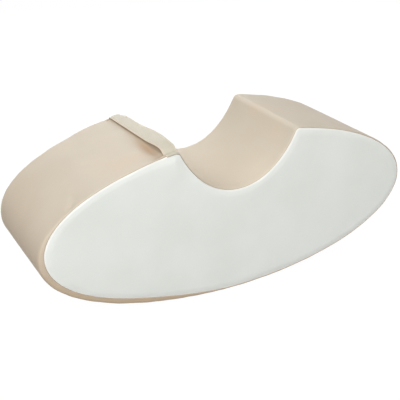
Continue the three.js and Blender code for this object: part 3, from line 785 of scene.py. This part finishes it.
zipper = {
    "mouth": 5.1, "hem": 13, "hemDepth": 2.4, "hemStep": 6, "end": 200,
    "stitchLine": 5.2, "stitchDip": 0.35, "stitchReach": 0.9,
    "tapeDepth": 3.3, "tapeInner": 2.2, "tapeWidth": 15, "tapeThickness": 0.6, "tapeEnd": 220.1,
    "teeth": 95, "pitch": 4.2, "toothDepth": 3.6, "bead": 0.8,
    "tapeWave": (0.05, 7, 8),  # height, length, and both its start and how far on it is full
    "toothRound": 0.45, "stitchDepth": 0.32, "stitchEnd": 4,
    "relief": 9.9, "reliefHalf": 18.6, "reliefSlope": 0.8, "reliefEnd": 1.5, "reliefRun": 1.2,
}


# the zip's circle runs through the middle and the ends of its stretch of the underside
zipAngle = curveAngle(zipper["end"], block["baseFullness"])
zipRise = rimCurve(zipAngle, 0, -1)[1] - levelZ + block["baseDrop"]
zipRadius = (zipper["end"] ** 2 + zipRise ** 2) / (2 * zipRise)


# half of the underside: the hem beside the zip folded under round a half circle, a shallow dip
# along its stitches, then the rim's half section
def hemSection(side):
    fold = zipper["hemDepth"] / 2
    start, end = zipper["mouth"] + fold, zipper["mouth"] + zipper["hem"]
    turn = np.linspace(-np.pi / 2, np.pi / 2, 9)[1:-1]
    under = np.linspace(end, start, 5)
    back = joined(2 * fold, under, 0)
    bend = joined(fold - fold * np.sin(turn), start - fold * np.cos(turn), 0)
    near = np.linspace(start, end + zipper["hemStep"], 22)[:-1]
    fromLine = near - zipper["mouth"] - zipper["stitchLine"]
    dip = zipper["stitchDip"] * bell((fromLine, zipper["stitchReach"]))
    flat = joined(dip, near, 0)
    half = rimHalf(end + zipper["hemStep"])
    return chain([back, bend, flat, half]) * [1, side, 1]


for hand, side in sides.items():
    makeRimCover("base_cover_" + hand, ["base"], hemSection(side), "base_panel_" + hand)
print("base covers made")


# the foam under the cover, and the rows of its rim from the middle outwards
foamDepth = 4.2
foamRows = [0, 10, 17, 17.8, 18.6, 20, 30, 50, 80, 110, 116, 119, 122, 124]


# the foam: both side faces and the rim between them as one closed skin, with a channel for the
# zip pressed into its underside
def makeFoam():
    depth = foamDepth
    left, right = (sideFace(side, depth, False)[0] for side in sides.values())
    near = np.array(foamRows + [seam["face"] - depth])
    half = joined(depth, near)
    half = np.hstack([half, dipShare(half[:, 1:], seam["face"] - depth, 1)])
    section = mirrored(half)
    lines = trace(wholeOutline, section[:, 0], section[:, 2])[:, :-1]
    y = np.repeat(section[:, 1:2], lines.shape[1], 1)
    fromEnd = zipper["tapeEnd"] + zipper["reliefEnd"] - np.abs(lines[..., 0])
    channel = (clamp((zipper["reliefHalf"] - np.abs(y)) / zipper["reliefSlope"])
               * clamp(fromEnd / zipper["reliefRun"]) * (lines[..., 1] < levelZ / 2))
    band = joined(lines[..., 0], y, lines[..., 1] + channel * (zipper["relief"] - depth))
    fromSeam = give["foamEdge"] + seam["face"] - depth - np.abs(y)
    band = band - gridNormals(band) * dentDepth(band)[..., None] - cornerGive(band, fromSeam)
    first = len(rollSpots)  # the side faces' repeated rows at the seam
    points = chain([left[first - 1:][::-1], band, right[first - 1:]])
    foam = gridMesh("foam_block", points, closed=True, folded=[0, -1])
    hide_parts("foam_core")
    dress(foam, foamMaterial(foamLook))


makeFoam()
print("foam made")


strap = {
    "width": 31, "thickness": 2.4, "reach": 155,
    # of its hump, at the front edge and at the back edge: height, and where it peaks and ends
    "slack": (4, 7.5), "peak": (-90, -45), "humpEnd": (-35, 60),
    "stitchInset": 3.6, "groove": 0.28, "grooveReach": 0.9, "fill": 0.3, "squareness": 9,
    "close": 0.3, "hover": 0.8,
    "lipSag": 4, "sagReach": (4, 34),  # towards the rounded lip, near the seams
    # its end inside the seam, from the seam's edge, and where the curve round the block starts
    "dive": [(-1.4, -4.1), (-1.1, -2.3), (-0.4, -1), (0.6, -0.25)], "start": 1.2,
    "seamPlaces": 9,  # of its line at each end, without stitches
}


# a point over the front top, moved out along the outline's normal
def overTop(x, out, y):
    n, a = block["topFullness"], block["halfLength"]
    share = np.abs(x) / a
    base = (1 - share ** n) ** (1 / n)
    slope = block["topRise"] / a * (share / base) ** (n - 1) * np.sign(x)
    size = np.sqrt(1 + slope ** 2)
    z = levelZ + block["topRise"] * base
    return joined(x + slope / size * out, y, z + out / size)


# the strap's middle line as height over the rim, place across and distances from the left seam and
# from the nearest one: out of one seam, round the edge, over the top, and into the other seam. It
# lies close to the side face and hovers over the top.
def strapPath():
    above = strap["close"] + strap["thickness"] / 2
    bend = block["edgeRadius"] + above
    first = block["edgeRadius"] - seam["inset"] + strap["start"]
    turn = np.linspace(np.arcsin(first / bend), np.pi / 2, 12)
    around = bend + (strap["hover"] - strap["close"]) * (turn - turn[0]) / np.ptp(turn)
    rise = joined(around * np.sin(turn) - block["edgeRadius"],
                  rim["flatHalf"] + around * np.cos(turn))
    dive = np.array(strap["dive"]) + [-seam["inset"], seam["face"] + above]
    half = chain([dive, rise])
    across = np.linspace(-rim["flatHalf"], rim["flatHalf"], 96)[1:-1]
    flat = joined(rise[-1, 0], across)
    path = chain([half * [1, -1], flat, half[::-1]])
    run = lengthOf(path)
    whole = run[-1] - 2 * run[len(dive) + 1]
    run = np.clip(run - run[len(dive) + 1], 0, whole)
    return np.hstack([path, run[:, None], np.minimum(run, whole - run)[:, None]])


# height of the hump: two halves of a raised cosine that meet at its peak
def humpHeight(y, cross):
    share = cross / strap["width"] + 0.5
    tall, peak, end = (low + (high - low) * share
                       for low, high in (strap["slack"], strap["peak"], strap["humpEnd"]))
    turn = (y - peak) / np.where(y < peak, peak + seam["face"], end - peak)
    return tall * (1 + np.cos(np.pi * np.clip(turn, -1, 1))) / 2


# how far the rounded lip lies under the curve of the top
def lipDrop(x):
    line = stretch("frontLip", np.linspace(1, 0, 40), [0])[0]
    under = overTop(line[:, 0], 0, 0)[:, 2] - line[:, 1]
    return np.clip(np.interp(x, line[:, 0], under), 0, strap["lipSag"])


# places on the strap: at cross places of the section, a height over its middle line
def onStrap(path, cross, height):
    out, y, fromSeam, near = np.split(path, 4, 1)
    way = unitLong(np.gradient(path[:, :2], axis=0))
    x = -strap["reach"] + cross + out * 0
    rest = overTop(x, 0, y)
    height = height + humpHeight(y, cross)
    sag = lipDrop(x) * (1 - easing(near, *strap["sagReach"]))
    return (overTop(x, out + way[:, 1:] * height, y - way[:, :1] * height)
            - cornerGive(rest, fromSeam) - sag[..., None] * [0, 0, 1])


# half thickness across the strap: a flat-topped round, pinched along both rows of stitches
def strapHeight(cross):
    half = strap["width"] / 2
    edge = np.sqrt(clamp(1 - (np.abs(cross) / half) ** strap["squareness"]))
    line = half - strap["stitchInset"]
    pinch = strap["groove"] * bell((np.abs(cross) - line, strap["grooveReach"]))
    crown = strap["fill"] * clamp(1 - (cross / line) ** 2)
    return strap["thickness"] / 2 * edge - pinch * edge + crown - strap["fill"] / 2


def makeStrap():
    path = strapPath()
    cross = -strap["width"] / 2 * np.cos(np.linspace(0, np.pi, 33))
    ring = chain([cross, cross[1:-1][::-1]])
    sign = chain([np.ones(33), -np.ones(31)])
    height = strapHeight(ring) * sign * (np.abs(np.abs(ring) - strap["width"] / 2) > 1e-6)
    grow = np.ones((len(path), 1))
    grow[[0, -1]] = 0
    points = onStrap(path, ring[None, :], height[None, :] * grow)
    along = lengthOf(points[:, 16])
    chart = joined(along[:, None], np.append(ring, ring[0]))
    band = gridMesh("grab_strap", points, chart, closed=True, folded=[0, -1])
    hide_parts("handle_strap")
    dress(band, strapMaterial(strapLook))


stitch = {"length": 3.1, "pitch": 4, "radius": 0.34, "rise": 0.42, "sunk": 0.12, "clear": 2,
          "least": 0.004}


# a row of stitches along a line: each an arc of thread, r sqrt(1 - (2t - 1)^4) thick, that comes
# out of the leather and goes back in
def stitchRow(name, line, normal):
    run = lengthOf(line)
    count = int((run[-1] - stitch["clear"]) / stitch["pitch"])
    start = (run[-1] - count * stitch["pitch"]) / 2 + stitch["pitch"] / 2
    t = np.linspace(0, 1, 7)
    turn = wholeTurn(6)
    spot = start + stitch["pitch"] * np.arange(count)[:, None] + stitch["length"] * (t - 0.5)
    place, up = (joined(*(np.interp(spot, run, part) for part in values.T))
                 for values in (line, normal))
    up = unitLong(up)
    over = unitLong(np.cross(np.gradient(place, axis=1), up))
    thick = stitch["radius"] * np.sqrt(np.clip(1 - (2 * t - 1) ** 4, stitch["least"], 1))
    place = place + up * (stitch["rise"] * np.sin(np.pi * t) - stitch["sunk"])[:, None]
    ring = (np.cos(turn)[:, None] * over[..., None, :] + np.sin(turn)[:, None] * up[..., None, :])
    points = place[..., None, :] + ring * thick[:, None, None]
    quads = tubeFaces(len(t), len(turn), [[0, 1, 2, 3], [3, 4, 5, 0]], count)
    return facesMesh(name, points.reshape(-1, 3), quads)


thread = threadMaterial(threadLook)


def strapStitches():
    path = strapPath()[strap["seamPlaces"]:-strap["seamPlaces"]]
    line = strap["width"] / 2 - strap["stitchInset"]
    for end, cross in (("front", -line), ("back", line)):
        low, high = (onStrap(path, np.array([[cross]]), np.array([[level]]))[:, 0]
                     for level in (strapHeight(cross), strapHeight(cross) + 1))
        dress(stitchRow("strap_stitches_" + end, low, high - low), thread)


makeStrap()
strapStitches()
print("strap made")


# flat on the zip's circle: x along it, depth towards its middle
def layOnArc(x, y, depth):
    angle = x / zipRadius
    radius = zipRadius - depth
    return joined(radius * np.sin(angle), y, zipRadius - radius * np.cos(angle))


# the woven tape: flat beside its toothed edge, and a little wavy beyond
def makeTape(hand, side):
    end = zipper["tapeEnd"]
    x = np.linspace(-end, end, 150)[None, :]
    y = zipper["tapeInner"] + np.linspace(0, 1, 14)[:, None] * zipper["tapeWidth"]
    depth = zipper["tapeDepth"] + zipper["tapeThickness"] / 2
    tall, length, clear = zipper["tapeWave"]
    wave = tall * np.sin(x / length + y) * clamp((y - clear) / clear)
    points = layOnArc(x, y * side, depth + wave)
    tape = gridMesh("zip_tape_" + hand, points, joined(x, y))
    thicken(tape, zipper["tapeThickness"], offset=0)
    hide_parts("zip_stringer_" + hand)
    dress(tape, tapeMade)


# sections of a tooth from its foot on the tape to its head: place across, half length, half height
toothSections = np.array([[3.1, 0.55, 0.85], [2.85, 0.9, 1.2], [1.45, 0.9, 1.2], [0.95, 0.72, 1.1],
                          [0.05, 0.86, 1.18], [-0.62, 0.92, 1.2], [-0.9, 0.6, 0.85]])


# all teeth of one side as one mesh: rounded eight-cornered sections, closed at both ends
def makeTeeth(hand, side):
    turn = wholeTurn(8) + np.pi / 8
    square = joined(np.cos(turn), np.sin(turn))
    square = np.sign(square) * np.abs(square) ** zipper["toothRound"]
    square /= np.abs(square).max()
    half = zipper["teeth"] * zipper["pitch"] / 2  # the two rows are half a pitch apart
    first = -half + zipper["pitch"] * (0.25 if side > 0 else 0.75)
    middle = first + zipper["pitch"] * np.arange(zipper["teeth"])[:, None, None]
    x = middle + square[:, 0] * toothSections[:, 1:2]
    depth = zipper["toothDepth"] + square[:, 1] * toothSections[:, 2:]
    y = toothSections[:, :1] * side
    points = layOnArc(x, y, depth).reshape(-1, 3)
    caps = [[0, 1, 2, 7], [2, 3, 6, 7], [3, 4, 5, 6]]
    quads = tubeFaces(len(toothSections), len(turn), caps, zipper["teeth"])
    teeth = facesMesh("zip_teeth_" + hand, points, quads)
    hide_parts("zip_stringer_" + hand)
    dress(teeth, toothMade)


# the cord that the teeth are moulded round
def makeBead(hand, side):
    x = np.linspace(-zipper["tapeEnd"], zipper["tapeEnd"], 150)[:, None]
    turn = wholeTurn(10)
    thick = zipper["bead"] * np.sqrt(np.clip(zipper["tapeEnd"] - np.abs(x), 0.02, 1))
    points = layOnArc(x, side * (zipper["tapeInner"] + thick * np.cos(turn)),
                      zipper["toothDepth"] + thick * np.sin(turn))
    bead = gridMesh("zip_bead_" + hand, points, closed=True)
    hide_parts("zip_stringer_" + hand)
    dress(bead, tapeMade)


def hemStitches(hand, side):
    end = 1 - zipper["stitchEnd"] / seam["crossReach"]
    share = (np.linspace(-end, end, 200) + 1) / 2
    line = stretch("base", share, [zipper["stitchDepth"]])[0]
    normal = np.gradient(line, axis=0)[:, ::-1] * [1, -1]
    line = joined(line[:, 0], side * (zipper["mouth"] + zipper["stitchLine"]), line[:, 1])
    normal = joined(normal[:, 0], 0, normal[:, 1])
    dress(stitchRow("hem_stitches_" + hand, line, normal), thread)


tapeMade, toothMade = tapeMaterial(tapeLook), toothMaterial(toothLook)
metalMade = metalMaterial(metalLook)
for hand, side in sides.items():
    makeTape(hand, side)
    makeTeeth(hand, side)
    makeBead(hand, side)
    hemStitches(hand, side)

# the metal parts are the solid ones, welded and with their edges broken by these widths
metalEdges = {"zip_slider": 0.25, "zip_pull": 0.25, "zip_top_stop_left": 0.15,
              "zip_top_stop_right": 0.15, "zip_bottom_stop": 0.15}
for node, width in metalEdges.items():
    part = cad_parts[node]
    part.data.materials.clear()
    part.data.materials.append(metalMade)
    weld = part.modifiers.new("weld", "WELD")
    weld.merge_threshold = 0.01 * millimetre
    edge = part.modifiers.new("edge", "BEVEL")
    edge.width, edge.segments, edge.limit_method = width * millimetre, 2, "ANGLE"
    edge.angle_limit = np.radians(30)
    edge.harden_normals = False
print("zip made")


studio = {
    "world": 0.336, "floorTone": 0.06, "floorGlow": 0.97, "floorHalf": 20, "floorZ": -0.0003,
    "target": (0, 0, 0.15),
    "lamps": {  # place, size and power
        "front lamp": ((-0.7, -3.6, 1.8), 2.6, 107),
        "left lamp": ((-2.8, -0.8, 1.1), 1.6, 25),
        "top lamp": ((-0.4, 0.4, 2.8), 1.6, 21),
        "back lamp": ((0.6, 2.6, 0.8), 2, 32),
    },
}


def stand(thing, *axesAndPlace):
    matrix = np.eye(4)
    matrix[:3] = np.stack(axesAndPlace, 1)
    thing.matrix_world = Matrix(matrix)


# a lamp that looks at the target: its axes are unit vectors to the right, up and back
def makeLamp(name, place, size, power):
    lamp = bpy.data.lights.new(name, "AREA")
    lamp.shape, lamp.size, lamp.energy = "DISK", size, power
    back = unitLong(np.subtract(place, studio["target"]))
    right = unitLong(np.cross([0, 0, 1], back))
    stand(addThing(name, lamp), right, np.cross(back, right), back, place)


# 1 for rays that come from the camera, directly, off a surface or through one
def seenRays(bench):
    camera, glossy, clear = (bench.node("LightPath", {}, {}, "Is %s Ray" % kind)
                             for kind in ("Camera", "Glossy", "Transmission"))
    return bench.maths("MAXIMUM", camera, bench.maths("MAXIMUM", glossy, clear))


def makeFloor():
    mesh = bpy.data.meshes.new("floor")
    half = studio["floorHalf"]
    mesh.from_pydata([(-half, -half, 0), (half, -half, 0), (half, half, 0), (-half, half, 0)],
                     [], [(0, 1, 2, 3)])
    floor = addThing("floor", mesh)
    floor.location.z = studio["floorZ"]
    bench = newBench("studio floor")
    shade = bench.node("BsdfDiffuse", {}, {"Color": (studio["floorTone"],) * 3 + (1,)})
    glow = bench.node("Emission", {}, {"Color": (1, 1, 1, 1),
                                       "Strength": seenRays(bench) * studio["floorGlow"]})
    mesh.materials.append(bench.finish(bench.node("AddShader", {}, {0: shade, 1: glow})))


# white where the camera sees it, also in a reflection, and dimmer as a light
def makeWorld():
    world = bpy.data.worlds.new("studio")
    bpy.context.scene.world = world
    bench = Bench(world)
    strength = seenRays(bench) * (1 - studio["world"]) + studio["world"]
    sky = bench.node("Background", {}, {"Color": (1, 1, 1, 1), "Strength": strength})
    bench.finish(sky, "OutputWorld")


camera = {"place": (-0.8148, -1.4172, 0.9486), "yaw": 0.50867, "pitch": 0.44858,
          "roll": 0.00138, "focal": 788.04, "frame": 400, "sensor": 36}


# the camera's axes from its yaw, its pitch downwards and its roll
def makeCamera():
    (sinYaw, cosYaw), (sinPitch, cosPitch), (sinRoll, cosRoll) = (
        (np.sin(camera[angle]), np.cos(camera[angle])) for angle in ("yaw", "pitch", "roll"))
    ahead = np.array([sinYaw * cosPitch, cosYaw * cosPitch, -sinPitch])
    level = np.array([cosYaw, -sinYaw, 0])
    up = np.cross(level, ahead)
    eye = bpy.data.cameras.new("camera")
    eye.sensor_width = camera["sensor"]
    eye.lens = camera["focal"] / camera["frame"] * camera["sensor"]
    thing = addThing("camera", eye)
    stand(thing, level * cosRoll + up * sinRoll, up * cosRoll - level * sinRoll, -ahead,
          camera["place"])
    bpy.context.scene.camera = thing


makeCamera()
makeFloor()
makeWorld()
for name, settings in studio["lamps"].items():
    makeLamp(name, *settings)
bpy.context.scene.view_settings.view_transform = "Standard"
print("studio made")
